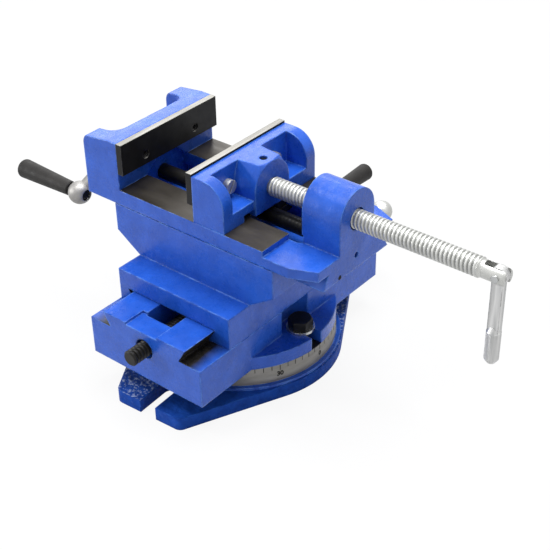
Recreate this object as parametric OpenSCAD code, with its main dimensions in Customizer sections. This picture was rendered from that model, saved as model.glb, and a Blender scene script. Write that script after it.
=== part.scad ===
// Cross slide vise: swivel base, two dovetail slides at right angles and a
// screw vise with a folding handle. Millimetres, +Z up, the table is z = 0 and
// the swivel axis is x = y = 0. X is the vise screw, Y is the jaw width.

/* [Base] */
// height of the scale ring above the table
ring_h = 26.5; // [24:0.5:34]
// diameter of the scale ring
ring_d = 144; // [138:1:160]
// thickness of the two lugs
lug_t = 10.5; // [8:0.5:14]
// distance from the swivel axis to a lug's end
lug_reach = 110; // [100:1:130]
// width of a lug at its end
lug_w = 62; // [50:1:80]
// width of the open bolt slots
slot_w = 14; // [10:0.5:18]
// length of a bolt slot from the lug's end to the middle of its round end
slot_len = 26; // [18:1:30]
// angle the base is turned under the vise, as in the photo
base_turn = 3; // [-45:1:45]

/* [Swivel and lower slide] */
// thickness of the round flange
flange_t = 10.5; // [9:0.5:14]
// radius of the clamp bolts from the swivel axis
bolt_r = 57; // [55:0.5:58]
// width of the lower slide
bar_w = 104; // [98:1:110]
// length of the lower slide
bar_l = 205; // [190:1:230]
// height of the lower slide's ledges above its underside
bar_h = 30.7; // [29:0.1:36]
// width of the lower dovetail at its root
dove_w = 65; // [58:1:68]
// height of the lower dovetail
dove_h = 10.5; // [8:0.5:12]

/* [Saddle] */
// length of the saddle's block along the lower slide
saddle_l = 144; // [130:1:156]
// height of the saddle's block
saddle_h = 25.4; // [24:0.2:32]
// how far the neck flares out over the block at each end
neck_flare = 21; // [12:1:26]
// height of the flare
flare_h = 14; // [10:0.5:18]
// height of the neck above the flare
neck_h = 22.1; // [20:0.1:30]
// width of the upper dovetail at its root
top_dove_w = 62; // [60:0.5:66]
// height of the upper dovetail
top_dove_h = 10; // [9:0.5:11]

/* [Vise] */
// width of the jaws and the bed
jaw_w = 100; // [96:1:110]
// thickness of the bed
bed_t = 12.1; // [11:0.1:14]
// height of the jaw's top above the bed
jaw_h = 37; // [34:0.5:45]
// height of the jaw plates
plate_h = 24; // [20:0.5:26]
// thickness of the jaw plates
plate_t = 5; // [4:0.5:7]
// gap between the jaw plates as drawn
jaw_open = 61; // [10:1:90]
// width of the slot between the ways
way_slot = 43; // [40:0.5:46]
// diameter of the vise screw's thread
vise_screw_d = 16; // [14:0.5:18]
// height of the vise screw above the bed
vise_screw_h = 16.2; // [14:0.2:19]
// length of the vise screw from end to end
vise_screw_l = 208; // [190:1:230]
// length of the folding handle below its pin
handle_l = 67; // [50:1:80]

/* [Drives] */
// diameter of the two lead screws
lead_d = 12; // [10:0.5:12]
// radius of the cranks
crank_r = 41; // [36:0.5:44]
// distance the crank's grip end leans outwards
crank_lean = 12; // [6:0.5:14]
// length of a crank's grip
grip_l = 55; // [40:1:60]

/* [Hidden] */
$fn = 72;

// clearances: a running fit, a fixed fit and the gap between sliding faces
run = 0.05;
fix = 0.02;
play = 0.1;
eps = 0.01;
blue = [0.10, 0.27, 0.72];
ground = [0.55, 0.53, 0.49];
black = [0.06, 0.06, 0.07];
bright = [0.78, 0.78, 0.76];
grip_grey = [0.16, 0.16, 0.17];
bronze = [0.60, 0.45, 0.22];

// levels from the table upwards
ring_r = ring_d / 2;
plinth_r = ring_r + 3.5;
base_r = ring_r + 4.5;
ledge_z = ring_h + bar_h;
dove_top = ledge_z + dove_h;
roof_z = dove_top + 0.5;
shoulder_z = ledge_z + saddle_h;
flare_z = shoulder_z + flare_h;
saddle_top = flare_z + neck_h;
channel_z = saddle_top - top_dove_h;
bed_under = saddle_top + 0.5;
bed_z = bed_under + bed_t;
jaw_z = bed_z + jaw_h;
plate_z = jaw_z - plate_h;
screw_z = bed_z + vise_screw_h;

// lead screws and their cranks
lower_z = ledge_z - 4.7;
upper_z = bed_z - 7.8;
bearing_t = 12;
bearing_w = 52;
bearing_h = 27;
bearing_bolt = 20;
dial_l = 15.5;
hub_off = 38.5;
journal_d = 10;
hub_r = 12;
grip_ball_r = 9;
tail_ball_r = 8.5;
tail_r = 39;
tail_lean = 10.3;
grip_r = 7.6;
grip_end = 3;
lower_end = bar_l / 2;
lower_hub = lower_end + hub_off;
upper_end = 80;
upper_hub = upper_end + hub_off;
lower_phase = 200;
upper_phase = 54;

// dovetails and gibs
slope = tan(60);
gib_w = 4.6;
bar_x = bar_w / 2;
neck_x = bar_x + neck_flare;
half_w = jaw_w / 2;
dove_x = dove_w / 2;
top_dove_y = top_dove_w / 2;
lower_gib_at = [-0.32, 0, 0.32] * saddle_l;
upper_gib_at = [-0.63, 0, 0.63] * neck_x;
gib_screw_d = 6;
lower_gib_z = ledge_z + dove_h / 2;
upper_gib_z = saddle_top - top_dove_h / 2;

// vise along X
fixed_face = -62;
wall_x = fixed_face - plate_t;
wall_back = -upper_end;
ear_x = -100;
ear_w = 14;
moving_face = fixed_face + jaw_open;
jaw_x = moving_face + plate_t;
foot_l = 27.5;
barrel_l = 29;
boss_x = 73.5;
front_x = 105;
boss_w = 38;
way_end = 64.5;
wing_z = bed_z - 4.5;
slot_y = way_slot / 2;
lip_t = 10.3;
cavity_y = slot_y + 5.5;
slot_end = 75;
plate_screw_y = 26;
plate_screw_z = plate_z + 7.7;
moving_screw_y = 24.5;
leg_y = 11.5;
nut_y = 10.5;
nut_wall = 7.2;
nut_x = -14;
nut_l = 27.6;
nut_foot = 23.6;
nut_screw = 18.5;
screw_start = jaw_x + 7;
screw_tip = screw_start + vise_screw_l;
handle_x = screw_tip - 7;
clevis_x = handle_x - 16;

// clamp bolts
bolt_d = 10;
seat_z = ring_h + flange_t;
washer_t = 2;
tee_top = ring_h - 10;
tee_floor = 7;
pivot_d = 24;

// box between two corners
module box(a, b) translate(a) cube(b - a);

// round bars along the three axes, from a point over a length
module bar_xx(p, l, d) translate(p) rotate([0, 90, 0]) cylinder(d = d, h = l);
module bar_yy(p, l, d) translate(p) rotate([-90, 0, 0]) cylinder(d = d, h = l);
module bar_zz(p, l, d) translate(p) cylinder(d = d, h = l);

// a plan or section drawn in 2D, stood up so that it runs along Y or X
module along_y(y0, y1) translate([0, y1, 0]) rotate([90, 0, 0]) linear_extrude(y1 - y0) children();
module along_x(x0, x1) translate([x0, 0, 0]) rotate([90, 0, 90]) linear_extrude(x1 - x0) children();

// copies on both sides of a plane
module both_x() for (s = [0, 1]) mirror([s, 0, 0]) children();
module both_y() for (s = [0, 1]) mirror([0, s, 0]) children();

// cap screw with a hexagon socket: head on top of z = 0, shank below
module cap_screw(d, l, head_d, head_h) difference() {
    union() {
        cylinder(d = head_d, h = head_h);
        translate([0, 0, -l]) cylinder(d = d, h = l + eps);
    }
    translate([0, 0, head_h / 2]) cylinder(d = d, h = head_h, $fn = 6);
}

// slotted grub screw along +Z from z = 0
module grub(d, l) difference() {
    cylinder(d = d, h = l);
    translate([-d, -0.6, l - 1.6]) cube([2 * d, 1.2, 2]);
}

// angle from the long axis of a line that touches the round middle and a lug's corner
corner_r = 6;
corner = [lug_w / 2 - corner_r, lug_reach - corner_r];
tangent = atan2(corner.y, corner.x) - acos((base_r - corner_r) / norm(corner));
touch = [cos(tangent), sin(tangent)];

// plan of the base: a round middle drawn out to two lugs
module base_plan() {
    side = [base_r * touch, corner + corner_r * touch, [corner.x, lug_reach]];
    circle(r = base_r);
    for (t = [0, 180]) rotate(t) {
        polygon(concat([[0, 0]], side, [for (i = [2:-1:0]) [-side[i].x, side[i].y]]));
        for (s = [-1, 1]) translate([s * corner.x, corner.y]) circle(r = corner_r);
    }
}

module base() color(blue) rotate(base_turn) difference() {
    union() {
        linear_extrude(lug_t) base_plan();
        cylinder(r = plinth_r, h = lug_t + 2);
        cylinder(r = ring_r, h = ring_h - 0.05, $fn = 144);
    }
    // open slots for the table's bolts
    both_y() {
        bar_zz([0, lug_reach - slot_len, -1], lug_t + 2, slot_w);
        box([-slot_w / 2, lug_reach - slot_len, -1], [slot_w / 2, lug_reach + 1, lug_t + 1]);
    }
    // round T-slot for the clamp bolts, with a way in from below
    rotate_extrude() {
        translate([bolt_r - 5.6, tee_top - 1]) square([11.2, ring_h - tee_top + 2]);
        translate([bolt_r - 9.5, tee_floor]) square([19, tee_top - tee_floor]);
    }
    rotate(45) box([bolt_r - 9.5, -10, -1], [bolt_r + 9.5, 10, tee_floor + 1]);
    // pivot bore and the hollow of the casting around its boss
    bar_zz([0, 0, 2], ring_h + 2, pivot_d + 2 * run);
    rotate_extrude() translate([22, -1]) square([21, ring_h - 7]);
}

module pivot_pin() color(ground) union() {
    bar_zz([0, 0, 4], ring_h + 4, pivot_d);
    bar_zz([0, 0, 2.5], 1.5 + eps, pivot_d - 3);
}

// section of a dovetail that stands on z = 0, root half-width w and height h
module dovetail(w, h) polygon([[-w, -1], [w, -1], [w, 0], [w + h / slope, h], [-w - h / slope, h], [-w, 0]]);

// pocket for a clamp bolt: a round-backed notch over an open slot
module bolt_pocket() {
    pocket_r = 16.5;
    pocket_x = bolt_r + 1.5;
    bar_zz([pocket_x, 0, seat_z], 60, 2 * pocket_r);
    box([pocket_x, -pocket_r, seat_z], [ring_r + 20, pocket_r, seat_z + 60]);
    bar_zz([bolt_r, 0, ring_h - 1], flange_t + 2, bolt_d + 1);
    box([bolt_r, -bolt_d / 2 - 0.5, ring_h - 1], [ring_r + 20, bolt_d / 2 + 0.5, seat_z + 1]);
}

module swivel_body() color(blue) difference() {
    union() {
        box([-bar_x, -bar_l / 2, ring_h], [bar_x, bar_l / 2, ledge_z]);
        bar_zz([0, 0, ring_h], flange_t, ring_d);
        along_y(-bar_l / 2, bar_l / 2) translate([0, ledge_z]) dovetail(dove_x, dove_h);
    }
    // trough for the nut and the screw, with a low step in the near end wall
    trough = bar_l / 2 - 17;
    box([-12.5, -trough, lower_z - 12.5], [12.5, trough, dove_top + 1]);
    box([-17, -bar_l / 2 - 1, dove_top - 1.8], [12.5, -trough + 1, dove_top + 1]);
    bar_yy([0, 0, lower_z], bar_l, lead_d + 2 * run);
    bar_yy([0, -bar_l / 2 - 1, lower_z], bar_l / 2, lead_d + 3.5);
    both_x() bolt_pocket();
    // pivot bore and hollows of the casting
    bar_zz([0, 0, ring_h - 1], 9, pivot_d + 2 * fix);
    both_y() box([-38, 28, ring_h - 1], [38, bar_l / 2 - 12, ring_h + 7]);
    both_x() bar_yy([bearing_bolt, lower_end - 8, lower_z], 9, 6 + 2 * fix);
}

module clamp_bolt(s) color(black) translate([s * bolt_r, 0, 0]) {
    head_z = seat_z + washer_t;
    head_h = 7;
    bar_zz([0, 0, tee_floor + 2.5], head_z - tee_floor - 2, bolt_d);
    translate([0, 0, head_z]) intersection() {
        rotate(33) cylinder(d = 18.5, h = head_h, $fn = 6);
        cylinder(r1 = 16, r2 = 8.1, h = head_h);
    }
}
module clamp_bolt_front() clamp_bolt(1);
module clamp_bolt_back() clamp_bolt(-1);

module clamp_washer(s) color(bright) translate([s * bolt_r, 0, seat_z]) difference() {
    cylinder(d = 21, h = washer_t);
    translate([0, 0, -1]) cylinder(d = bolt_d + 0.5, h = washer_t + 2);
}
module clamp_washer_front() clamp_washer(1);
module clamp_washer_back() clamp_washer(-1);

module tee_nut(s) color(black) difference() {
    box([s * bolt_r - 8.5, -8, tee_floor + 1.5], [s * bolt_r + 8.5, 8, tee_top]);
    bar_zz([s * bolt_r, 0, 0], 60, bolt_d + 2 * fix);
}
module tee_nut_front() tee_nut(1);
module tee_nut_back() tee_nut(-1);

// parts of a drive, drawn along +Z from the face that the bearing is bolted to
module bearing() difference() {
    translate([-bearing_w / 2, -bearing_h / 2, 0]) cube([bearing_w, bearing_h, bearing_t]);
    translate([0, 0, -1]) cylinder(d = journal_d + 2 * run, h = bearing_t + 2);
    for (s = [-1, 1]) translate([bearing_bolt * s, 0, -1]) cylinder(d = 6.6, h = bearing_t + 2);
}
module bearing_screws() for (s = [-1, 1])
    translate([bearing_bolt * s, 0, bearing_t]) cap_screw(6, bearing_t + 7, 10, 6);
module dial() difference() {
    union() {
        cylinder(d = 26, h = dial_l - 4);
        translate([0, 0, dial_l - 4 - eps]) cylinder(d1 = 26, d2 = 22, h = 2);
        cylinder(d = 21, h = dial_l);
    }
    translate([0, 0, -1]) cylinder(d = journal_d + 2 * fix, h = dial_l + 2);
}

// round arm that tapers from one point to another
module arm(a, b, r1, r2) {
    d = b - a;
    translate(a) rotate([0, acos(d.z / norm(d)), atan2(d.y, d.x)]) cylinder(r1 = r1, r2 = r2, h = norm(d));
}

// ball crank about the hub's middle: hub, arm with the grip's ball and, if wanted, a tail
grip_at = [crank_r, 0, crank_lean];
tail_at = [-tail_r, 0, -tail_lean];
module crank(tail) difference() {
    union() {
        intersection() {
            sphere(r = hub_r);
            translate([0, 0, -10.5]) cylinder(r = hub_r, h = 21);
        }
        arm([0, 0, 0], grip_at, 7, 5);
        translate(grip_at) sphere(r = grip_ball_r);
        if (tail) {
            arm([0, 0, 0], tail_at, 7, 6);
            translate(tail_at) sphere(r = tail_ball_r);
        }
    }
    translate([0, 0, -20]) cylinder(d = journal_d + 2 * fix, h = 40);
    translate([0, 20, 0]) rotate([90, 0, 0]) cylinder(d = 3 + 2 * fix, h = 40);
    translate(grip_at) {
        translate([0, 0, -20]) cylinder(d = 6 + 2 * fix, h = 40);
        translate([0, 0, -20]) cylinder(d = 9, h = 14);
        translate([0, 0, grip_ball_r - 1]) cylinder(d = 12, h = 5);
    }
}
module crank_pin() translate([0, 11, 0]) rotate([90, 0, 0]) cylinder(d = 3, h = 22);
module spindle() translate(grip_at) {
    translate([0, 0, -6]) cylinder(d = 6, h = grip_ball_r + 42);
    translate([0, 0, grip_ball_r - 1 + fix]) cylinder(d = 9, h = 1);
}
module grip() translate(grip_at + [0, 0, grip_ball_r + 0.3]) difference() {
    rotate_extrude() {
        polygon([[0, 0], [5, 0], [5.7, 0.8], [grip_r, grip_l - grip_end], [0, grip_l - grip_end]]);
        translate([0, grip_l - grip_end - 1]) square([grip_r - grip_end, grip_end + 1]);
        translate([grip_r - grip_end, grip_l - grip_end]) circle(r = grip_end);
    }
    translate([0, 0, -1]) cylinder(d = 6 + 2 * run, h = grip_l - 8);
}

// places of the two drives: the lower along +Y, the upper along -X
module lower_place(at) translate([0, at, lower_z]) rotate([-90, 0, 0]) children();
module upper_place(at) translate([-at, 0, upper_z]) rotate([0, -90, 0]) children();
module lower_hub_place() lower_place(lower_hub) rotate(360 - lower_phase) children();
module upper_hub_place() upper_place(upper_hub) rotate(180 + upper_phase) children();

module lower_bearing() color(blue) lower_place(lower_end) bearing();
module lower_bearing_screws() color(black) lower_place(lower_end) bearing_screws();
module lower_dial() color(bright) lower_place(lower_end + bearing_t + 0.3) dial();
module lower_crank() color(bright) lower_hub_place() crank(true);
module lower_crank_pin() color(ground) lower_hub_place() crank_pin();
module lower_spindle() color(bright) lower_hub_place() spindle();
module lower_grip() color(grip_grey) lower_hub_place() grip();
pin_reach = 20;
module lower_screw() color(black) difference() {
    union() {
        bar_yy([0, -bar_l / 2 - 14.5, lower_z], bar_l + 14.3, lead_d);
        bar_yy([0, lower_end - 1, lower_z], hub_off + 13, journal_d);
    }
    lower_hub_place() translate([0, pin_reach, 0]) rotate([90, 0, 0])
        cylinder(d = 3 + 2 * fix, h = 2 * pin_reach);
}

module upper_bearing() color(blue) upper_place(upper_end) rotate(90) bearing();
module upper_bearing_screws() color(black) upper_place(upper_end) rotate(90) bearing_screws();
module upper_dial() color(bright) upper_place(upper_end + bearing_t + 0.3) dial();
module upper_crank() color(bright) upper_hub_place() crank(false);
module upper_crank_pin() color(ground) upper_hub_place() crank_pin();
module upper_spindle() color(bright) upper_hub_place() spindle();
module upper_grip() color(grip_grey) upper_hub_place() grip();
module upper_screw() color(black) difference() {
    union() {
        bar_xx([-upper_end + 0.2, 0, upper_z], slot_end + upper_end - 1, lead_d);
        bar_xx([-upper_hub - 12, 0, upper_z], hub_off + 13, journal_d);
        bar_xx([slot_end - 2, 0, upper_z], 16, 8);
    }
    upper_hub_place() translate([0, 20, 0]) rotate([90, 0, 0]) cylinder(d = 3 + 2 * fix, h = 40);
}

// section of the saddle across X: block, flare and neck
module saddle_neck() polygon([
    [-bar_x, shoulder_z - 1], [-bar_x, shoulder_z], [-neck_x, flare_z], [-neck_x, saddle_top],
    [neck_x, saddle_top], [neck_x, flare_z], [bar_x, shoulder_z], [bar_x, shoulder_z - 1]]);

module saddle() color(blue) difference() {
    union() {
        box([-bar_x, -saddle_l / 2, ledge_z], [bar_x, saddle_l / 2, shoulder_z]);
        along_y(-half_w, half_w) saddle_neck();
    }
    // lower dovetail with room for its gib on the back, and the hollows of the casting
    rise = roof_z - ledge_z;
    root = dove_x + play;
    along_y(-saddle_l, saddle_l) translate([0, ledge_z]) polygon([
        [root - 1 / slope, -1], [root + rise / slope, rise],
        [-root - gib_w - rise / slope, rise], [-root - gib_w + 1 / slope, -1]]);
    both_x() box([14.5, -44, roof_z - 1], [36, 44, flare_z]);
    // upper dovetail with room for its gib on the far side
    top_root = top_dove_y + play;
    along_x(-neck_x - 1, neck_x + 1) translate([0, saddle_top]) polygon([
        [-top_root + 1 / slope, 1], [-top_root - top_dove_h / slope, -top_dove_h],
        [top_root + gib_w + top_dove_h / slope, -top_dove_h], [top_root + gib_w - 1 / slope, 1]]);
    // seats of the two nuts and their screws
    seat = nut_foot + fix;
    box([-nut_y - fix, -seat, roof_z - 1], [nut_y + fix, seat, roof_z + 6]);
    both_y() bar_zz([0, nut_screw, roof_z], 18, 5 + 2 * fix);
    box([nut_x - seat, -nut_y - fix, channel_z - 6], [nut_x + seat, nut_y + fix, channel_z + 1]);
    for (s = [-1, 1]) bar_zz([nut_x + nut_screw * s, 0, channel_z - 18], 18, 5 + 2 * fix);
    // gib screws
    for (t = lower_gib_at) bar_xx([-bar_x - 1, t, lower_gib_z], bar_x - dove_x, gib_screw_d + 2 * fix);
    for (t = upper_gib_at) bar_yy([t, top_dove_y, upper_gib_z], half_w, gib_screw_d + 2 * fix);
}

// nut with a foot: foot above z = 0, bored block below it down to the screw
module lead_nut(drop) difference() {
    union() {
        translate([-nut_y, -nut_foot, 0]) cube([2 * nut_y, 2 * nut_foot, 6]);
        translate([-nut_y, -nut_l / 2, -drop - nut_wall]) cube([2 * nut_y, nut_l, drop + nut_wall + eps]);
    }
    translate([0, -50, -drop]) rotate([-90, 0, 0]) cylinder(d = lead_d + 2 * run, h = 100);
    for (s = [-1, 1]) translate([0, nut_screw * s, -1]) {
        cylinder(d = 5.4, h = 8);
        cylinder(d = 9, h = 4);
    }
}
module nut_screws() for (s = [-1, 1])
    translate([0, nut_screw * s, 3]) mirror([0, 0, 1]) cap_screw(5, 14, 8.5, 2.8);
module lower_nut_place() translate([0, 0, roof_z]) children();
module upper_nut_place() translate([nut_x, 0, channel_z]) mirror([0, 0, 1]) rotate(90) children();
module lower_nut() color(bronze) lower_nut_place() lead_nut(roof_z - lower_z);
module lower_nut_screws() color(black) lower_nut_place() nut_screws();
module upper_nut() color(bronze) upper_nut_place() lead_nut(upper_z - channel_z);
module upper_nut_screws() color(black) upper_nut_place() nut_screws();

// section of a gib that leans at the dovetail's angle, from its root corner upwards
gib_foot = 0.3;
module gib_section(h) polygon([
    [gib_foot / slope, gib_foot], [gib_w - play + gib_foot / slope, gib_foot],
    [gib_w - play + h / slope, h], [h / slope, h]]);
gib_inset = 4;
module lower_gib() color(ground) along_y(-saddle_l / 2 + gib_inset, saddle_l / 2 - gib_inset)
    translate([-dove_x - play, ledge_z]) mirror([1, 0]) gib_section(dove_h);
module upper_gib() color(ground) along_x(-neck_x + gib_inset, neck_x - gib_inset)
    translate([top_dove_y + play, saddle_top]) mirror([0, 1]) gib_section(top_dove_h - 0.3);
lower_tip = dove_x + gib_w + play + (dove_h / 2 + gib_screw_d / 2) / slope;
upper_tip = top_dove_y + gib_w + play + (top_dove_h / 2 + gib_screw_d / 2) / slope;
// a flat of each lower nut faces down, clear of the lower slide
module lower_gib_place() for (t = lower_gib_at)
    translate([-lower_tip, t, lower_gib_z]) rotate([0, -90, 0]) rotate(30) children();
module upper_gib_place() for (t = upper_gib_at)
    translate([t, upper_tip, upper_gib_z]) rotate([-90, 0, 0]) children();
module gib_nut(at) translate([0, 0, at]) difference() {
    cylinder(d = 11.5, h = 4, $fn = 6);
    translate([0, 0, -1]) cylinder(d = gib_screw_d + 2 * fix, h = 6);
}
module lower_gib_screws() color(black) lower_gib_place() grub(gib_screw_d, bar_x - lower_tip + 7);
module lower_gib_nuts() color(black) lower_gib_place() gib_nut(bar_x - lower_tip);
module upper_gib_screws() color(black) upper_gib_place() grub(gib_screw_d, half_w - upper_tip + 7);
module upper_gib_nuts() color(black) upper_gib_place() gib_nut(half_w - upper_tip);

// plan of the bed and the drawn-in wings at the front
module bed_plan() polygon([
    [wall_back, -half_w], [86, -half_w], [front_x, -half_w + 8], [front_x, half_w - 8],
    [86, half_w], [wall_back, half_w]]);

// fixed jaw: wall, two ears and a round blend between them
module fixed_jaw() difference() {
    box([ear_x, -half_w, bed_under], [wall_x, half_w, jaw_z]);
    inner = half_w - ear_w;
    blend = 10;
    box([ear_x - 1, -inner, channel_z], [wall_back - blend, inner, jaw_z + 1]);
    box([wall_back - blend - 1, -inner + blend, channel_z], [wall_back, inner - blend, jaw_z + 1]);
    both_y() bar_zz([wall_back - blend, inner - blend, channel_z], 100, 2 * blend);
    // ears are rounded at the back and slope down a little
    difference() {
        box([ear_x - 1, -half_w - 1, jaw_z - 9], [ear_x + 9, half_w + 1, jaw_z + 1]);
        bar_yy([ear_x + 9, -half_w - 2, jaw_z - 9], jaw_w + 4, 18);
    }
    along_y(-half_w - 1, half_w + 1)
        polygon([[ear_x - 1, jaw_z - 3], [wall_back + 4, jaw_z],
            [wall_back + 4, jaw_z + 1], [ear_x - 1, jaw_z + 1]]);
}

module vise_body() color(blue) difference() {
    union() {
        translate([0, 0, bed_under]) linear_extrude(wing_z - bed_under) bed_plan();
        box([wall_back, -half_w, bed_under], [way_end, half_w, bed_z]);
        along_x(wall_back, front_x) translate([0, saddle_top]) mirror([0, 1])
            polygon([[-top_dove_y, -1], [top_dove_y, -1], [top_dove_y, 0],
                [top_dove_y + top_dove_h / slope, top_dove_h],
                [-top_dove_y - top_dove_h / slope, top_dove_h], [-top_dove_y, 0]]);
        fixed_jaw();
        // front boss with a round top
        box([boss_x, -boss_w / 2, bed_under], [front_x, boss_w / 2, screw_z + 3]);
        bar_xx([boss_x, 0, screw_z + 3], front_x - boss_x, boss_w);
    }
    // slot between the ways, arched under the fixed jaw, and the cavity for the keepers
    nose = 4.5;
    box([wall_x - 5, -slot_y, bed_z - lip_t], [slot_end - nose, slot_y, bed_z + 1]);
    box([wall_x, -slot_y + nose, bed_z - lip_t], [slot_end, slot_y - nose, bed_z + 1]);
    both_y() bar_zz([slot_end - nose, slot_y - nose, bed_z - lip_t], lip_t + 1, 2 * nose);
    bar_xx([wall_x - 5, 0, bed_z - slot_y + 12], 6, way_slot);
    box([wall_x - 5, -cavity_y, channel_z - 1], [slot_end + 2, cavity_y, bed_z - lip_t + eps]);
    // vise screw, lead screw bearings and bolt holes
    bar_xx([boss_x - 1, 0, screw_z], front_x - boss_x + 2, vise_screw_d + 2 * run);
    bar_xx([ear_x, 0, upper_z], wall_x - ear_x, lead_d + 2 * run);
    bar_xx([slot_end - 5, 0, upper_z], 20, 8 + 2 * run);
    bar_xx([front_x - 10, 0, upper_z - 4], 11, 4.5);
    both_y() bar_xx([wall_back - 1, bearing_bolt, upper_z], 8.5, 6 + 2 * fix);
    both_y() bar_xx([wall_x - 12, plate_screw_y, plate_screw_z], 20, 4 + 2 * fix);
}

// jaw plate with its back on x = 0
module jaw_plate() box([0, -half_w, plate_z], [plate_t, half_w, jaw_z]);
module fixed_plate() color(black) difference() {
    translate([wall_x, 0, 0]) jaw_plate();
    both_y() {
        bar_xx([wall_x - 1, plate_screw_y, plate_screw_z], 20, 4 + 2 * fix);
        bar_xx([wall_x + 1.2, plate_screw_y, plate_screw_z], 20, 6.4);
    }
}
module fixed_plate_screws() color(black) both_y()
    translate([wall_x + 1.2, plate_screw_y, plate_screw_z]) rotate([0, 90, 0]) cap_screw(4, 12, 6.2, 3);
module moving_plate() color(black) difference() {
    translate([moving_face, 0, 0]) jaw_plate();
    both_y() bar_xx([moving_face + 1, moving_screw_y, plate_screw_z], 20, 5 + 2 * fix);
}

// moving jaw, drawn with its plate's back on x = 0
back_t = 9;
cheek_t = 9.7;
cheek_r = 17.5;
top_z = jaw_z - 1.6;
foot_h = 11.7;
barrel_r = 18.3;
barrel_y = 12.3;
retainer_x = jaw_x + 21.5;
module jaw_casting() difference() {
    union() {
        box([0, -half_w, bed_z], [back_t, half_w, top_z]);
        box([0, -half_w, bed_z], [foot_l, half_w, bed_z + foot_h]);
        // cheeks with a quarter-round front
        both_y() intersection() {
            box([0, half_w - cheek_t, bed_z], [foot_l, half_w, top_z]);
            union() {
                box([0, 0, bed_z], [foot_l, half_w, top_z - cheek_r]);
                box([0, 0, bed_z], [foot_l - cheek_r, half_w, top_z]);
                bar_yy([foot_l - cheek_r, 0, top_z - cheek_r], half_w + 1, 2 * cheek_r);
            }
        }
        // barrel around the screw's end
        intersection() {
            hull() {
                box([0, -barrel_y, bed_z], [back_t + 1, barrel_y, top_z]);
                box([0, -barrel_r, bed_z], [barrel_l, barrel_r, screw_z]);
                box([0, -barrel_y + 2, bed_z], [barrel_l - 2, barrel_y - 2, top_z]);
                bar_xx([barrel_l - 4, 0, top_z - barrel_r], 4, 2 * barrel_r);
            }
            box([0, -half_w, bed_z], [barrel_l, half_w, top_z]);
        }
        // legs that reach down between the ways
        both_y() box([5, leg_y, bed_z - lip_t - 0.3], [24, slot_y - 0.4, bed_z + 1]);
    }
    // notches under the foot, beside the barrel
    both_y() box([back_t, barrel_r, bed_z - 1], [foot_l + 1, 29, bed_z + 5]);
}
retainer_d = 6;
retainer_gap = 4.4;
keeper_screw_x = 15;
keeper_screw_y = 4.7;
keeper_screw_d = 5;
driver_l = 12;
driver_w = 1.4;
module moving_jaw() color(blue) difference() {
    translate([jaw_x, 0, 0]) jaw_casting();
    bar_xx([jaw_x + 6, 0, screw_z], 60, 12 + 2 * run);
    bar_zz([retainer_x, 0, screw_z], 60, retainer_d + 2 * fix);
    both_y() {
        bar_xx([jaw_x - 1, moving_screw_y, plate_screw_z], 20, 5 + 2 * fix);
        bar_zz([jaw_x + keeper_screw_x, leg_y + keeper_screw_y, bed_z - lip_t - 1],
            12, keeper_screw_d + 2 * fix);
    }
}
module moving_plate_screws() color(bright) both_y()
    translate([jaw_x + back_t, moving_screw_y, plate_screw_z]) rotate([0, 90, 0]) difference() {
        union() {
            cylinder(d = 10, h = 4.5);
            translate([0, 0, -back_t - plate_t + 1.5]) cylinder(d = 5, h = back_t + plate_t);
        }
        rotate(35) translate([-driver_l / 2, -driver_w / 2, 2.9]) cube([driver_l, driver_w, 3]);
    }
keeper_z = bed_z - lip_t - 0.3;
keeper_start = 5;
keeper_l = 20;
keeper_t = 5;
keeper_bore = 5.4;
keeper_screw_l = 14;
keeper_head = 8.5;
module jaw_keepers() color(ground) both_y() difference() {
    box([jaw_x + keeper_start, leg_y, keeper_z - keeper_t],
        [jaw_x + keeper_start + keeper_l, cavity_y - 0.5, keeper_z]);
    bar_zz([jaw_x + keeper_screw_x, leg_y + keeper_screw_y, keeper_z - keeper_t - 1],
        keeper_screw_l, keeper_bore);
}
module keeper_screws() color(black) both_y()
    translate([jaw_x + keeper_screw_x, leg_y + keeper_screw_y, keeper_z - keeper_t])
        mirror([0, 0, 1]) cap_screw(keeper_screw_d, keeper_screw_l, keeper_head, 3);
module retaining_screw() color(black)
    translate([retainer_x, 0, screw_z + retainer_gap]) grub(retainer_d, top_z - screw_z - retainer_d);

// vise screw: journal with a groove, thread at its outer size, slotted end for the handle
module vise_screw() color(bright) difference() {
    union() {
        bar_xx([screw_start, 0, screw_z], barrel_l, 12);
        bar_xx([jaw_x + barrel_l + 1, 0, screw_z], clevis_x - jaw_x - barrel_l - 1, vise_screw_d);
        bar_xx([clevis_x - 1, 0, screw_z], screw_tip - clevis_x + 1, 14);
    }
    translate([retainer_x - 3.5, 0, screw_z]) rotate([0, 90, 0]) difference() {
        cylinder(d = 20, h = 7);
        translate([0, 0, -1]) cylinder(d = 8, h = 9);
    }
    box([handle_x - 14, -3.1, screw_z - 10], [screw_tip + 1, 3.1, screw_z + 10]);
    bar_yy([handle_x, -10, screw_z], 20, 5 + 2 * fix);
}
module handle_pin() color(bright) bar_yy([handle_x, -7, screw_z], 14, 5);

// folding handle: eye, flat shank and a round knurled end
shank_l = handle_l - 23;
module vise_handle() color(bright) translate([handle_x, 0, screw_z]) difference() {
    union() {
        bar_yy([0, -2.9, 0], 5.8, 12);
        box([-4, -2.5, -shank_l], [4, 2.5, 0]);
        bar_zz([0, 0, -handle_l + 3], handle_l - shank_l - 2, 10);
        translate([0, 0, -shank_l + 1 - eps]) cylinder(d1 = 10, d2 = 6, h = 4);
        translate([0, 0, -handle_l]) cylinder(d1 = 6, d2 = 10, h = 3 + eps);
    }
    bar_yy([0, -10, 0], 20, 5 + 2 * run);
}

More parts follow.
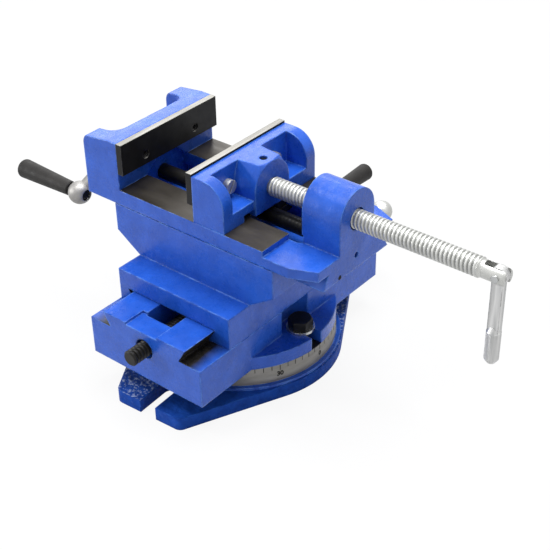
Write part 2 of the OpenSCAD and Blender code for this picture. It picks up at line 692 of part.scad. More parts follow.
base();
pivot_pin();
swivel_body();
clamp_bolt_front();
clamp_bolt_back();
clamp_washer_front();
clamp_washer_back();
tee_nut_front();
tee_nut_back();
lower_bearing();
lower_bearing_screws();
lower_screw();
lower_dial();
lower_crank();
lower_crank_pin();
lower_spindle();
lower_grip();
saddle();
lower_nut();
lower_nut_screws();
upper_nut();
upper_nut_screws();
lower_gib();
lower_gib_screws();
lower_gib_nuts();
upper_gib();
upper_gib_screws();
upper_gib_nuts();
vise_body();
fixed_plate();
fixed_plate_screws();
upper_bearing();
upper_bearing_screws();
upper_screw();
upper_dial();
upper_crank();
upper_crank_pin();
upper_spindle();
upper_grip();
moving_jaw();
moving_plate();
moving_plate_screws();
jaw_keepers();
keeper_screws();
retaining_screw();
vise_screw();
handle_pin();
vise_handle();
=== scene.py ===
import math
from collections import namedtuple

import bmesh
import bpy
from mathutils import Matrix, Vector


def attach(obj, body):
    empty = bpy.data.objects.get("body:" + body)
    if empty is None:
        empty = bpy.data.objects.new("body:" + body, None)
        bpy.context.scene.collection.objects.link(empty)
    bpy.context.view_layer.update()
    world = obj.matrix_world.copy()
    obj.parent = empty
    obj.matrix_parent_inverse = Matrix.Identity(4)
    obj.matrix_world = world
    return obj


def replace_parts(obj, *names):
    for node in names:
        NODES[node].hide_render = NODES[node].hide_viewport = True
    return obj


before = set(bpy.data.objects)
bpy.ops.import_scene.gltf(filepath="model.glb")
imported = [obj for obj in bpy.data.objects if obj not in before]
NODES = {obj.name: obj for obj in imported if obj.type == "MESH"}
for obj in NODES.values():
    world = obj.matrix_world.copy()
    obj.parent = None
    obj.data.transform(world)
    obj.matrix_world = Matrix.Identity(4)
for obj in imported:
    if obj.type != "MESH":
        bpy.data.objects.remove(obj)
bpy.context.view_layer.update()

MM = 0.001

# Sizes of the solids that the materials and the added pieces follow, in millimetres and degrees.
BASE_TURN = 3
LUG_TOP, LUG_FROM_R, RECESS_R, RECESS_FROM_Z = 10.8, 70, 69, 1
RING_R, RING_FROM_R, RING_FOOT, RING_TOP = 72, 60, 12.6, 26.5
LEDGE_Z, DOVETAIL_H = 57.2, 10.4
SADDLE_ROOF, SADDLE_HALF = 68.1, 51.9
BED_Z, BED_UNDER = 131.3, 119.3
SCREW_Z, JAW_X, BARREL_L = 147.5, 4, 29
HANDLE_X, KNURL_DROP = 212, 43
UPPER_Z, LOWER_Z = 123.5, 52.5
LOWER_END, UPPER_END = 102.5, -80
LOWER_BALL, UPPER_BALL, BALL_R = (-38.53, 38.48), (-33.17, 99.40), 9
DIAL_R, DIAL_OUT = 13.0, 12.3

# Sizes that only the added pieces have.
THREAD_R, THREAD_ROOT = 7.0, 6.15
VISE_PITCH, LEAD_PITCH = 3.0, 3.0
CLEVIS_X, CLEVIS_R, CLEVIS_SLOT, TIP_X = 200, 6.1, 3.05, 217.8
LEAD_R, LEAD_JOURNAL_R = 5.95, 5
HOLE_AT, HOLE_R, HOLE_DEPTH = (105, -18.6, 110.8), 1.7, 0.1
KNURL_ROWS, KNURL_PITCH = 14.0, 2.2


# Materials

MID = (0.3, 0.7)  # holds nearly all the values of a noise
COAT_ROUGHNESS = 0.12
SHINE_SPREAD = 2.3  # how much finer the roughness varies than the colour
RELIEF_DETAIL = 5.0
PLAIN_ROUNDING, ROUNDING_SAMPLES = 0.0006, 6
# Noise that breaks up the colour painted along bent edges.
PAINTED_EDGE_SCALE, PAINTED_EDGE_RANGE, PAINTED_EDGE_SPAN = 130, (0.42, 0.68), 2.2
FACING = 0.9  # part of a normal that makes a face look one way

# An edge's rounding, the colour painted along it (a painted highlight, darker on the brushed zinc) and the
# bend where that colour begins.
Edge = namedtuple("Edge", "radius colour onset")


def add(tree, kind, inputs=None, **props):
    """Adds a node, sets its properties, and sets or links its sockets."""
    node = tree.nodes.new(kind)
    for key, value in props.items():
        setattr(node, key, value)
    for key, value in (inputs or {}).items():
        if isinstance(value, bpy.types.NodeSocket):
            tree.links.new(value, node.inputs[key])
        else:
            node.inputs[key].default_value = value
    return node


def math_node(tree, operation, a, b=0.0):
    return add(tree, "ShaderNodeMath", {0: a, 1: b}, operation=operation).outputs[0]


def vector_node(tree, operation, inputs):
    return add(tree, "ShaderNodeVectorMath", inputs, operation=operation).outputs


def separate(tree, vector):
    return add(tree, "ShaderNodeSeparateXYZ", {0: vector}).outputs


def ranged(tree, value, low, high, to_low=0.0, to_high=1.0):
    """A value taken from one range to another, held at the ends."""
    node = add(tree, "ShaderNodeMapRange", {"Value": value, "From Min": low, "From Max": high,
                                            "To Min": to_low, "To Max": to_high})
    return node.outputs["Result"]


def mixed(tree, factor, a, b):
    """Two colours mixed by a factor."""
    node = tree.nodes.new("ShaderNodeMix")
    node.data_type = "RGBA"
    for socket, value in (("Factor_Float", factor), ("A_Color", a), ("B_Color", b)):
        target = next(s for s in node.inputs if s.identifier == socket)
        if isinstance(value, bpy.types.NodeSocket):
            tree.links.new(value, target)
        else:
            target.default_value = value
    return next(s for s in node.outputs if s.identifier == "Result_Color")


def noise(tree, vector, scale, detail=4.0, roughness=0.55):
    node = add(tree, "ShaderNodeTexNoise", {"Vector": vector, "Scale": scale, "Detail": detail,
                                            "Roughness": roughness})
    return node.outputs["Fac"]


def true_normal(tree):
    return tree.nodes.new("ShaderNodeNewGeometry").outputs["True Normal"]


def finish(name, dark, light, metallic, rough, spread, bumps,
           stretch=(1, 1, 1), edge=None, coat=0.0, gloss=0.5):
    """A worked surface: two tones mixed by a noise, roughness that varies, layers of relief given as
    (scale, distance, strength), rounded edges and an optional colour painted along the edges, patchy, which
    begins where the edge's bend passes an onset: a painted highlight where that colour is lighter than the
    finish and a painted dark line where it is darker. Lengths are in metres."""
    mat = bpy.data.materials.new(name)
    mat.use_nodes = True
    tree = mat.node_tree
    shader = tree.nodes["Principled BSDF"]
    shader.inputs["Metallic"].default_value = metallic
    shader.inputs["Specular IOR Level"].default_value = gloss
    shader.inputs["Coat Weight"].default_value = coat
    shader.inputs["Coat Roughness"].default_value = COAT_ROUGHNESS
    coords = tree.nodes.new("ShaderNodeTexCoord").outputs["Object"]
    grain = add(tree, "ShaderNodeMapping", {"Vector": coords, "Scale": stretch}).outputs[0]
    colour = mixed(tree, ranged(tree, noise(tree, grain, spread), *MID), (*dark, 1), (*light, 1))
    roughness = ranged(tree, noise(tree, grain, spread * SHINE_SPREAD), *MID, *rough)
    radius = edge.radius if edge else PLAIN_ROUNDING
    rounded = add(tree, "ShaderNodeBevel", {"Radius": radius}, samples=ROUNDING_SAMPLES).outputs[0]
    normal = rounded
    for scale, distance, strength in bumps:
        height = noise(tree, grain, scale, RELIEF_DETAIL)
        normal = add(tree, "ShaderNodeBump", {"Strength": strength, "Distance": distance,
                                              "Height": height, "Normal": normal}).outputs[0]
    # The edge colour is painted light: a highlight along the bent edges, broken up by a noise, and a dark
    # line on a finish whose edge colour is darker.
    if edge:
        along = vector_node(tree, "DOT_PRODUCT", {0: rounded, 1: true_normal(tree)})["Value"]
        bend = math_node(tree, "SUBTRACT", 1.0, along)
        patchy = ranged(tree, noise(tree, coords, PAINTED_EDGE_SCALE), *PAINTED_EDGE_RANGE)
        tinted = ranged(tree, math_node(tree, "MULTIPLY", bend, patchy), edge.onset, edge.onset * PAINTED_EDGE_SPAN)
        colour = mixed(tree, tinted, colour, (*edge.colour, 1))
    for socket, value in (("Base Color", colour), ("Roughness", roughness), ("Normal", normal)):
        tree.links.new(value, shader.inputs[socket])
    return mat


# Each Edge colour is painted light along the edges: a painted highlight, lighter than its finish, and on the
# brushed zinc a painted dark line.
PAINT = finish("blue_cast_paint", (0.010, 0.070, 0.41), (0.018, 0.100, 0.54), 0.0, (0.20, 0.38), 60,
               [(45, 0.0016, 0.28), (170, 0.0009, 0.30), (420, 0.0004, 0.35)],
               edge=Edge(0.0018, (0.09, 0.24, 0.74), 0.03), coat=0.06, gloss=0.32)
ROUGH_CAST = finish("blue_rough_casting", (0.007, 0.044, 0.27), (0.013, 0.076, 0.42), 0.0, (0.42, 0.62), 120,
                    [(75, 0.0030, 0.55), (270, 0.0014, 0.50)],
                    edge=Edge(0.0015, (0.03, 0.13, 0.54), 0.05), gloss=0.05)
GROUND = finish("ground_ways", (0.014, 0.011, 0.008), (0.062, 0.055, 0.046), 0.6, (0.30, 0.50), 24,
                [(420, 0.0001, 0.25)], stretch=(0.3, 1.4, 1), edge=Edge(0.0005, (0.36, 0.34, 0.31), 0.06))
SCALE = finish("scale_ring_steel", (0.19, 0.183, 0.168), (0.31, 0.30, 0.28), 0.35, (0.40, 0.56), 40,
               [(500, 0.0001, 0.3)], stretch=(1, 1, 5), edge=Edge(0.0006, (0.45, 0.43, 0.40), 0.06))
BRIGHT_EDGE = finish("plate_ground_edge", (0.20, 0.195, 0.18), (0.33, 0.32, 0.295), 0.8, (0.36, 0.52), 90,
                     [(700, 0.00008, 0.3)], stretch=(3, 0.2, 3))
BLACK = finish("black_oxide", (0.004, 0.004, 0.0045), (0.011, 0.011, 0.012), 0.1, (0.32, 0.50), 110,
               [(600, 0.0001, 0.25)], edge=Edge(0.0008, (0.16, 0.155, 0.15), 0.06), gloss=0.2)
# Oiled black steel of the lead screws, also the painted shade on the flats of the cranks' balls.
OILED_AND_SHADE = finish("oiled_black_steel_and_shade", (0.0045, 0.0043, 0.004), (0.011, 0.0102, 0.009), 0.15, (0.32, 0.46), 60,
               [(300, 0.00005, 0.2)], gloss=0.25)
ZINC = finish("bright_zinc", (0.38, 0.39, 0.39), (0.56, 0.57, 0.57), 0.95, (0.22, 0.36), 70,
              [(380, 0.00004, 0.18)], edge=Edge(0.0004, (0.80, 0.80, 0.79), 0.08))
CUT_ZINC = finish("cut_zinc", (0.45, 0.455, 0.44), (0.59, 0.595, 0.575), 0.85, (0.36, 0.48), 70,
                  [(380, 0.00004, 0.18)], edge=Edge(0.0003, (0.92, 0.92, 0.91), 0.10))
# Its darker edge colour is a painted dark line along the handle's edges, standing for their dark reflection.
BRUSHED = finish("brushed_zinc", (0.40, 0.405, 0.405), (0.68, 0.68, 0.675), 0.9, (0.38, 0.52), 160,
                 [(380, 0.00004, 0.18)], stretch=(2, 2, 0.12), edge=Edge(0.0009, (0.13, 0.13, 0.135), 0.03))
SATIN = finish("satin_ball", (0.24, 0.235, 0.228), (0.36, 0.352, 0.34), 0.9, (0.46, 0.60), 80,
               [(380, 0.00008, 0.2)], edge=Edge(0.0004, (0.7, 0.7, 0.7), 0.08))
PLASTIC = finish("grip_plastic", (0.009, 0.0083, 0.0078), (0.019, 0.0175, 0.0165), 0.0, (0.52, 0.66), 90,
                 [(450, 0.00015, 0.25)], edge=Edge(0.0004, (0.06, 0.06, 0.06), 0.07), gloss=0.3)
BRONZE = finish("nut_bronze", (0.13, 0.085, 0.032), (0.22, 0.15, 0.062), 0.9, (0.38, 0.54), 90,
                [(400, 0.0001, 0.25)], edge=Edge(0.0005, (0.40, 0.29, 0.13), 0.07))
# Black print of the scales, also used as the painted shade of a small hole.
INK_AND_SHADE = finish("scale_ink_and_hole_shade", (0.004, 0.004, 0.004), (0.012, 0.011, 0.010), 0.0, (0.5, 0.7), 300,
             [(900, 0.00005, 0.3)], gloss=0.1)

IRON_DARK, IRON_LIGHT = (0.008, 0.0075, 0.007, 1), (0.022, 0.019, 0.016, 1)
# Pale blue of the painted glints on the lugs' pitted tops.
GLINT = (0.33, 0.41, 0.66, 1)
# Grey of the painted shade at the roots of the vise screw's thread.
ROOT_SHADE = (0.30, 0.305, 0.295, 1)


def variant(source, name):
    """A copy of a finish, with its tree, its shader and a socket of object coordinates."""
    mat = source.copy()
    mat.name = name
    tree = mat.node_tree
    coords = tree.nodes.new("ShaderNodeTexCoord").outputs["Object"]
    return mat, tree, tree.nodes["Principled BSDF"], coords


def source_of(shader, socket):
    """What feeds a socket of the shader."""
    return shader.inputs[socket].links[0].from_socket


def oily_ledge(source):
    """A copy of the paint that turns to dark iron beside the dovetail flank and stays blue farther out."""
    mat, tree, shader, coords = variant(source, "oily_ledge")
    ragged = ranged(tree, noise(tree, coords, 45), *MID, -0.002, 0.002)
    out = math_node(tree, "ADD", math_node(tree, "ABSOLUTE", separate(tree, coords)["X"]), ragged)
    iron = mixed(tree, ranged(tree, noise(tree, coords, 160), 0.35, 0.65), IRON_DARK, IRON_LIGHT)
    tinted = mixed(tree, ranged(tree, out, 0.040, 0.053), iron, source_of(shader, "Base Color"))
    tree.links.new(tinted, shader.inputs["Base Color"])
    return mat


def pitted(source):
    """A copy of the rough casting, pitted on top of every lug but the near right one, with painted glints
    there: pale specks in the colour of upward faces.
    """
    mat, tree, shader, coords = variant(source, "pitted_casting_with_glints")
    place = separate(tree, coords)
    near_right = math_node(tree, "MULTIPLY", math_node(tree, "GREATER_THAN", place["X"], -0.001),
                           math_node(tree, "LESS_THAN", place["Y"], 0.0))
    upward = math_node(tree, "GREATER_THAN", separate(tree, true_normal(tree))["Z"], FACING)
    where = math_node(tree, "MULTIPLY", math_node(tree, "SUBTRACT", 1.0, near_right), upward)
    # Pale specks on the pits of upward faces are painted glints; the near right lug gets none.
    grit = noise(tree, coords, 400, roughness=0.65)
    glint = math_node(tree, "MULTIPLY", ranged(tree, grit, 0.51, 0.64), where)
    glinted = mixed(tree, glint, source_of(shader, "Base Color"), GLINT)
    bump = add(tree, "ShaderNodeBump", {"Strength": 0.9, "Distance": 0.0015,
                                        "Normal": source_of(shader, "Normal"),
                                        "Height": math_node(tree, "MULTIPLY", grit, where)})
    tree.links.new(glinted, shader.inputs["Base Color"])
    tree.links.new(bump.outputs[0], shader.inputs["Normal"])
    return mat


def greasy_thread(source):
    """A copy of the zinc that is painted darker at the bottom of the vise screw's thread, as shade in its
    groove.
    """
    mat, tree, shader, coords = variant(source, "threaded_zinc")
    axis = vector_node(tree, "SUBTRACT", {0: coords, 1: (0, 0, SCREW_Z * MM)})[0]
    flat = vector_node(tree, "MULTIPLY", {0: axis, 1: (0, 1, 1)})[0]
    radius = vector_node(tree, "LENGTH", {0: flat})["Value"]
    ridge = ranged(tree, radius, THREAD_ROOT * MM, THREAD_R * MM)
    past = math_node(tree, "GREATER_THAN", separate(tree, coords)["X"], (CLEVIS_X - 1) * MM)
    unshaded = math_node(tree, "MAXIMUM", ridge, past)
    # Painted shade: the thread's roots are grey, while the crests and the end past the thread keep the zinc.
    tree.links.new(mixed(tree, unshaded, ROOT_SHADE, source_of(shader, "Base Color")), shader.inputs["Base Color"])
    return mat


def knurled(source):
    """A copy of a metal with two crossed sets of fine grooves around the handle's lower end."""
    mat, tree, shader, coords = variant(source, "knurled_zinc")
    place = separate(tree, coords)
    turn = math_node(tree, "ARCTAN2", place["Y"], math_node(tree, "SUBTRACT", place["X"], HANDLE_X * MM))
    around = math_node(tree, "MULTIPLY", turn, KNURL_ROWS)
    up = math_node(tree, "MULTIPLY", place["Z"], 2 * math.pi / (KNURL_PITCH * MM))
    ridges = [math_node(tree, "ABSOLUTE", math_node(tree, "SINE", math_node(tree, sign, around, up)))
              for sign in ("ADD", "SUBTRACT")]
    low = math_node(tree, "LESS_THAN", place["Z"], (SCREW_Z - KNURL_DROP) * MM)
    height = math_node(tree, "MULTIPLY", math_node(tree, "MINIMUM", *ridges), low)
    bump = add(tree, "ShaderNodeBump", {"Strength": 0.6, "Distance": 0.0005, "Height": height,
                                        "Normal": source_of(shader, "Normal")})
    tree.links.new(bump.outputs[0], shader.inputs["Normal"])
    return mat


DARK_BY_FLANK = oily_ledge(PAINT)
PITTED_WITH_GLINTS = pitted(ROUGH_CAST)
THREADED = greasy_thread(CUT_ZINC)
KNURLED = knurled(BRUSHED)

SLACK = 0.1  # how far a face's middle may lie from the plane that picks it
SQUARE_ON, UNDERCUT, NOT_DOWN, NOT_END = 0.98, -0.3, -0.5, 0.5  # limits on a part of the normal


def dress(node, default, **others):
    """Gives a solid its materials: each other one goes on the faces that its test picks."""
    mesh = NODES[node].data
    mesh.materials.clear()
    mesh.materials.append(default)
    for mat, test in others.values():
        mesh.materials.append(mat)
        index = len(mesh.materials) - 1
        for face in mesh.polygons:
            if test(face.center / MM, face.normal):
                face.material_index = index


def radius_of(c):
    return math.hypot(c.x, c.y)


def on_ball(a, b, ball):
    return math.hypot(a - ball[0], b - ball[1]) < BALL_R


dress("base", PAINT,
      rough=(PITTED_WITH_GLINTS, lambda c, n: c.z < LUG_TOP and radius_of(c) > LUG_FROM_R and n.z > NOT_DOWN),
      ring=(SCALE, lambda c, n: c.z > RING_FOOT and radius_of(c) > RING_FROM_R),
      under=(GROUND, lambda c, n: c.z < SLACK or radius_of(c) < RECESS_R and c.z > RECESS_FROM_Z))
dress("swivel_body", PAINT,
      ledge=(DARK_BY_FLANK, lambda c, n: abs(c.z - LEDGE_Z) < SLACK and n.z > FACING),
      flank=(GROUND, lambda c, n: LEDGE_Z < c.z < LEDGE_Z + DOVETAIL_H and n.z < UNDERCUT),
      under=(GROUND, lambda c, n: c.z < RING_TOP + SLACK))
dress("saddle", PAINT,
      under=(GROUND, lambda c, n: c.z < SADDLE_ROOF and abs(c.x) < SADDLE_HALF and abs(n.y) < NOT_END))
dress("vise_body", PAINT,
      ways=(GROUND, lambda c, n: abs(c.z - BED_Z) < SLACK and n.z > FACING),
      below=(GROUND, lambda c, n: c.z < BED_UNDER and n.z < -FACING))
dress("moving_jaw", PAINT, under=(GROUND, lambda c, n: c.z < BED_Z + SLACK / 2))
for name in ("lower_bearing", "upper_bearing"):
    dress(name, PAINT)
for name in ("fixed_plate", "moving_plate"):
    dress(name, BLACK, edge=(BRIGHT_EDGE, lambda c, n: n.z > FACING))
for name in ("pivot_pin", "lower_gib", "upper_gib", "jaw_keepers", "lower_crank_pin", "upper_crank_pin"):
    dress(name, GROUND)
for name in ("moving_plate_screws", "vise_screw"):
    dress(name, CUT_ZINC)
for name in ("clamp_washer_front", "clamp_washer_back", "handle_pin", "lower_dial", "upper_dial"):
    dress(name, ZINC)
# The flat on each crank's ball, round the riveted end of the spindle, is painted black as the shade of a dark
# recess there.
dress("lower_crank", CUT_ZINC,
      flat=(OILED_AND_SHADE, lambda c, n: n.y < -SQUARE_ON and on_ball(c.x, c.z, LOWER_BALL)))
dress("upper_crank", SATIN,
      flat=(OILED_AND_SHADE, lambda c, n: n.x > SQUARE_ON and on_ball(c.y, c.z, UPPER_BALL)))
dress("vise_handle", KNURLED)
for name in ("lower_grip", "upper_grip"):
    dress(name, PLASTIC)
for name in ("lower_nut", "upper_nut"):
    dress(name, BRONZE)
for name in ("clamp_bolt_front", "clamp_bolt_back", "tee_nut_front", "tee_nut_back", "lower_bearing_screws",
             "upper_bearing_screws", "lower_screw", "upper_screw", "lower_nut_screws", "upper_nut_screws",
             "lower_gib_screws", "upper_gib_screws", "lower_gib_nuts", "upper_gib_nuts", "fixed_plate_screws",
             "keeper_screws", "retaining_screw", "lower_spindle", "upper_spindle"):
    dress(name, BLACK)


# Added pieces

SHARP_ANGLE = 35
RINGS_PER_TURN, THREAD_FADE = 14, 1.5
VISE_SIDES, LEAD_SIDES = 48, 40  # around the vise screw and the lead screws
CHEEK_STEPS = 8
FIGURE_DEPTH, FIGURE_WEIGHT = 0.04, 0.22

Thread = namedtuple("Thread", "start end pitch depth crest flank")


def piece(name, bm, mat, body):
    """Makes an object of a mesh in millimetres and lets it ride on a body."""
    bmesh.ops.scale(bm, vec=(MM, MM, MM), verts=bm.verts)
    bmesh.ops.recalc_face_normals(bm, faces=bm.faces)
    for face in bm.faces:
        face.smooth = True
    for edge in bm.edges:
        if len(edge.link_faces) == 2 and edge.calc_face_angle() > math.radians(SHARP_ANGLE):
            edge.smooth = False
    mesh = bpy.data.meshes.new(name)
    bm.to_mesh(mesh)
    bm.free()
    mesh.materials.append(mat)
    obj = bpy.data.objects.new(name, mesh)
    bpy.context.scene.collection.objects.link(obj)
    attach(obj, body)
    return obj


def skin(bm, loops):
    """Joins loops of points into a closed tube with flat ends."""
    count = len(loops[0])
    for low, high in zip(loops, loops[1:]):
        for i in range(count):
            j = (i + 1) % count
            bm.faces.new((low[i], low[j], high[j], high[i]))
    bm.faces.new(loops[0][::-1])
    bm.faces.new(loops[-1])


def groove(phase, crest, flank):
    """Depth of a thread's groove, 0 to 1, over one turn: a flat crest, a flank, a root, a flank."""
    t = phase % 1.0
    if t < crest:
        return 0.0
    if t < crest + flank:
        return (t - crest) / flank
    if t < 1.0 - flank:
        return 1.0
    return (1.0 - t) / flank


def rod(bm, stations, place, thread, segments):
    """A turned bar along +X through (position, radius) stations, with a right-hand thread that fades at
    its ends."""
    rings = []
    for (a, radius), (b, _) in zip(stations, stations[1:]):
        rings.append((a, radius))
        if thread.start <= a and b <= thread.end:
            steps = int((b - a) / (thread.pitch / RINGS_PER_TURN))
            rings += [(a + (b - a) * i / steps, radius) for i in range(1, steps)]
    rings.append(stations[-1])
    loops = []
    for s, radius in rings:
        loop = []
        for i in range(segments):
            turn = i / segments
            size = radius
            if thread.start <= s <= thread.end:
                fade = min(1.0, (s - thread.start) / THREAD_FADE, (thread.end - s) / THREAD_FADE)
                size -= thread.depth * fade * groove(s / thread.pitch - turn, thread.crest, thread.flank)
            angle = 2 * math.pi * turn
            loop.append(bm.verts.new(place @ Vector((s, size * math.cos(angle), size * math.sin(angle)))))
        loops.append(loop)
    skin(bm, loops)


def clevis_cheek(bm, side):
    """One side of the slotted end of the vise screw, with a rounded tip."""
    reach = math.acos(CLEVIS_SLOT / CLEVIS_R)
    turns = [reach * (k / CHEEK_STEPS - 1) for k in range(2 * CHEEK_STEPS + 1)]
    arc = [(CLEVIS_R * math.cos(t), CLEVIS_R * math.sin(t)) for t in turns]
    loops = []
    for x, scale in ((CLEVIS_X + 1.9, 1.0), (TIP_X - 2.0, 1.0), (TIP_X - 0.7, 0.95), (TIP_X, 0.84)):
        ring = [(CLEVIS_SLOT + (y - CLEVIS_SLOT) * scale, z * scale) for y, z in arc]
        loops.append([bm.verts.new((x, side * y, SCREW_Z + z)) for y, z in ring])
    skin(bm, loops)


# Vise screw with its coarse thread, neck for the retaining screw and slotted end.
bm = bmesh.new()
thread_x = JAW_X + BARREL_L + 1
thread = Thread(thread_x + 0.8, CLEVIS_X - 1.2, VISE_PITCH, THREAD_R - THREAD_ROOT, 0.44, 0.20)
rod(bm, [(JAW_X + 7, 5.4), (JAW_X + 7.6, 6), (JAW_X + 18, 6),
         (JAW_X + 18, 4), (JAW_X + 25, 4), (JAW_X + 25, 6), (thread_x, 6),
         (thread_x, 6.4), (thread.start, THREAD_R), (thread.end, THREAD_R),
         (CLEVIS_X - 0.4, 6.3), (CLEVIS_X, CLEVIS_R), (CLEVIS_X + 2, CLEVIS_R)],
    Matrix.Translation((0, 0, SCREW_Z)), thread, VISE_SIDES)
for side in (-1, 1):
    clevis_cheek(bm, side)
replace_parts(piece("vise_screw_threaded", bm, THREADED, "clamp_screw"), "vise_screw")

# Lead screws: the lower one has a clear thread, and the upper one looks almost smooth.
bm = bmesh.new()
to_y = Matrix.Translation((0, 0, LOWER_Z)) @ Matrix(((0, -1, 0, 0), (1, 0, 0, 0), (0, 0, 1, 0), (0, 0, 0, 1)))
thread = Thread(-116, 102.2, LEAD_PITCH, 1.3, 0.30, 0.28)
rod(bm, [(-117, 5.0), (thread.start, LEAD_R), (thread.end, LEAD_R),
         (thread.end, LEAD_JOURNAL_R), (152.5, LEAD_JOURNAL_R), (153.5, 4.2)], to_y, thread, LEAD_SIDES)
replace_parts(piece("lower_screw_threaded", bm, OILED_AND_SHADE, "lower_drive"), "lower_screw")
bm = bmesh.new()
thread = Thread(-70, 73.8, LEAD_PITCH, 0.05, 0.60, 0.15)
rod(bm, [(-130.5, 4.2), (-129.5, LEAD_JOURNAL_R), (-79.8, LEAD_JOURNAL_R),
         (-79.8, LEAD_R), (thread.start, LEAD_R), (thread.end, LEAD_R),
         (thread.end, 4), (88.5, 4), (89, 3.5)], Matrix.Translation((0, 0, UPPER_Z)), thread, LEAD_SIDES)
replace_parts(piece("upper_screw_threaded", bm, OILED_AND_SHADE, "upper_drive"), "upper_screw")


def block(bm, place, size):
    """A small box with its middle at the origin of a frame."""
    bmesh.ops.create_cube(bm, size=1.0, matrix=place @ Matrix.Diagonal((*size, 1)))


def outward(turn, radius, height):
    """A frame on an upright cylinder: X across, Y up and Z outwards."""
    a = math.radians(turn)
    return Matrix(((-math.sin(a), 0, math.cos(a), radius * math.cos(a)),
                   (math.cos(a), 0, math.sin(a), radius * math.sin(a)), (0, 1, 0, height), (0, 0, 0, 1)))


def figures(bm, text, place, size):
    """Adds a number as thin solid figures, centred on a frame."""
    curve = bpy.data.curves.new("figure", "FONT")
    curve.body = text
    curve.size = size
    curve.extrude = FIGURE_DEPTH
    curve.offset = FIGURE_WEIGHT
    curve.align_x = curve.align_y = "CENTER"
    holder = bpy.data.objects.new("figure", curve)
    mesh = bpy.data.meshes.new_from_object(holder)
    mesh.transform(place)
    bm.from_mesh(mesh)
    bpy.data.meshes.remove(mesh)
    bpy.data.objects.remove(holder)
    bpy.data.curves.remove(curve)


# Degree scale on the base's ring: a mark every 5 degrees and a number every 30.
MARK_W, MARK_DEPTH, MARK_GAP = 0.5, 0.12, 0.2
MARK_STEP, NUMBER_STEP = 5, 30
MARK_LENGTHS = ((NUMBER_STEP, 4.6), (10, 4.0), (MARK_STEP, 3.4))
NUMBER_LIFT, NUMBER_DROP, NUMBER_SIZE = 0.02, 7.8, 5.2
bm = bmesh.new()
for degrees in range(-180, 180, MARK_STEP):
    turn = BASE_TURN + degrees
    length = next(value for step, value in MARK_LENGTHS if degrees % step == 0)
    block(bm, outward(turn, RING_R, RING_TOP - MARK_GAP - length / 2), (MARK_W, length, MARK_DEPTH))
    if degrees % NUMBER_STEP == 0:
        shown = min(abs(degrees), 180 - abs(degrees))
        figures(bm, str(shown), outward(turn, RING_R + NUMBER_LIFT, RING_TOP - NUMBER_DROP), NUMBER_SIZE)
piece("degree_scale", bm, INK_AND_SHADE, "base")

DIAL_MARKS, DIAL_LONG, DIAL_NUMBERED = 30, 5, 10
DIAL_MARK_W, DIAL_MARK_DEPTH, DIAL_MARK_GAP = 0.32, 0.1, 1.0
DIAL_NUMBER_AT, DIAL_NUMBER_SIZE = 8.2, 3.0


def dial_marks(name, to_dial, body):
    """Thirty marks around a feed dial, a number every ten."""
    bm = bmesh.new()
    for k in range(DIAL_MARKS):
        turn = 360 / DIAL_MARKS * k
        length = 4.5 if k % DIAL_LONG == 0 else 2.8
        block(bm, to_dial @ outward(turn, DIAL_R, DIAL_MARK_GAP + length / 2),
              (DIAL_MARK_W, length, DIAL_MARK_DEPTH))
        if k % DIAL_NUMBERED == 0:
            figures(bm, str(k // DIAL_NUMBERED), to_dial @ outward(turn, DIAL_R, DIAL_NUMBER_AT),
                    DIAL_NUMBER_SIZE)
    piece(name, bm, INK_AND_SHADE, body)


dial_marks("lower_dial_marks", Matrix.Translation((0, LOWER_END + DIAL_OUT, LOWER_Z)) @
           Matrix.Rotation(math.radians(-90), 4, "X"), "lower_drive")
dial_marks("upper_dial_marks", Matrix.Translation((UPPER_END - DIAL_OUT, 0, UPPER_Z)) @
           Matrix.Rotation(math.radians(-90), 4, "Y"), "upper_drive")

# Painted shade of a small hole low on the vise's front end, which the solid lacks: a thin dark disc stands
# for the dark inside of the hole.
bm = bmesh.new()
bmesh.ops.create_cone(bm, cap_ends=True, segments=24, radius1=HOLE_R, radius2=HOLE_R, depth=HOLE_DEPTH,
                      matrix=Matrix.Translation(HOLE_AT) @ Matrix.Rotation(math.radians(90), 4, "Y"))
piece("front_hole_shade", bm, INK_AND_SHADE, "vise")


# Stage, light and camera

FLOOR_SIZE, FLOOR_GLOW = 14, 0.91
SKY_LIGHT = 0.40
CAMERA_AT, LENS, SENSOR, CLIP_START = (0.4982, -0.5621, 0.5666), 79.84, 36, 0.02
AZ, EL, ROLL = (math.radians(v) for v in (39.56, 34.07, 1.03))


def seen_directly(tree):
    """1 where the camera sees a surface, also in a mirror, and 0 where it only gives light."""
    rays = tree.nodes.new("ShaderNodeLightPath").outputs
    shiny = math_node(tree, "MAXIMUM", rays["Is Glossy Ray"], rays["Is Transmission Ray"])
    return math_node(tree, "MAXIMUM", rays["Is Camera Ray"], shiny)


def floor_material():
    """White paper that keeps the object's shadow and is otherwise seen as plain white."""
    mat = bpy.data.materials.new("white_floor")
    mat.use_nodes = True
    tree = mat.node_tree
    shader = tree.nodes["Principled BSDF"]
    shader.inputs["Base Color"].default_value = (0.70, 0.70, 0.71, 1)
    shader.inputs["Roughness"].default_value = 0.9
    shader.inputs["Specular IOR Level"].default_value = 0.1
    glow = add(tree, "ShaderNodeEmission", {"Color": (1, 1, 1, 1), "Strength": 1.0})
    share = math_node(tree, "MULTIPLY", seen_directly(tree), FLOOR_GLOW)
    blend = add(tree, "ShaderNodeMixShader", {0: share})
    tree.links.new(shader.outputs[0], blend.inputs[1])
    tree.links.new(glow.outputs[0], blend.inputs[2])
    tree.links.new(blend.outputs[0], tree.nodes["Material Output"].inputs["Surface"])
    return mat


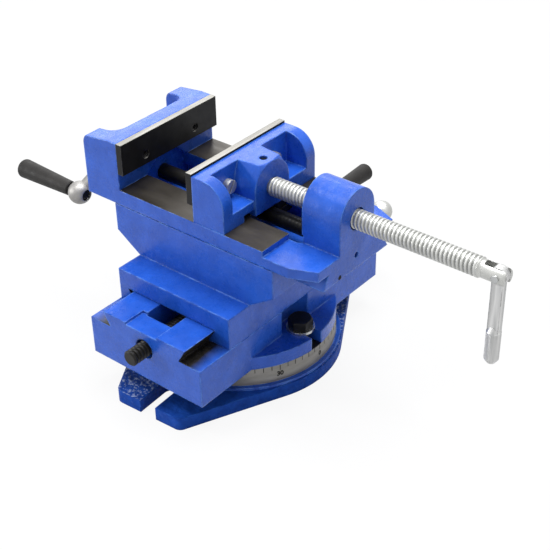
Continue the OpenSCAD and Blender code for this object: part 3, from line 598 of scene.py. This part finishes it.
bpy.ops.mesh.primitive_plane_add(size=FLOOR_SIZE, location=(0, 0, 0))
floor = bpy.context.object
floor.name = "floor"
floor.data.materials.append(floor_material())

world = bpy.data.worlds.new("studio")
bpy.context.scene.world = world
world.use_nodes = True
sky = world.node_tree
background = sky.nodes["Background"]
background.inputs["Color"].default_value = (1, 1, 1, 1)
sky.links.new(ranged(sky, seen_directly(sky), 0.0, 1.0, SKY_LIGHT, 1.0), background.inputs["Strength"])


def softbox(name, at, target, size, power):
    """A rectangular lamp that faces a point."""
    light = bpy.data.lights.new(name, "AREA")
    light.shape = "RECTANGLE"
    light.size, light.size_y = size
    light.energy = power
    obj = bpy.data.objects.new(name, light)
    bpy.context.scene.collection.objects.link(obj)
    obj.location = at
    obj.rotation_mode = "QUATERNION"
    obj.rotation_quaternion = (Vector(target) - Vector(at)).to_track_quat("-Z", "Y")


softbox("overhead", (0.0, 0.25, 1.4), (0, 0, 0.08), (0.9, 0.7), 22)
softbox("key", (-0.35, -0.45, 1.3), (0, 0, 0.1), (0.25, 0.25), 5)
softbox("left", (-1.15, -0.95, 0.42), (0, 0, 0.1), (0.45, 0.45), 9)
softbox("right", (1.3, 0.1, 0.7), (0.05, 0, 0.1), (0.5, 0.9), 1)
softbox("back", (-1.25, 1.15, 1.0), (0, 0, 0.1), (0.9, 0.9), 7)

forward = Vector((-math.sin(AZ) * math.cos(EL), math.cos(AZ) * math.cos(EL), -math.sin(EL)))
right = Vector((math.cos(AZ), math.sin(AZ), 0))
down = forward.cross(right)
across = right * math.cos(ROLL) + down * math.sin(ROLL)
below = down * math.cos(ROLL) - right * math.sin(ROLL)
camera_data = bpy.data.cameras.new("camera")
camera_data.sensor_width = SENSOR
camera_data.lens = LENS
camera_data.clip_start = CLIP_START
camera = bpy.data.objects.new("camera", camera_data)
bpy.context.scene.collection.objects.link(camera)
place = Matrix((across, -below, -forward)).transposed().to_4x4()
place.translation = Vector(CAMERA_AT)
camera.matrix_world = place
bpy.context.scene.camera = camera
bpy.context.scene.view_settings.view_transform = "Standard"
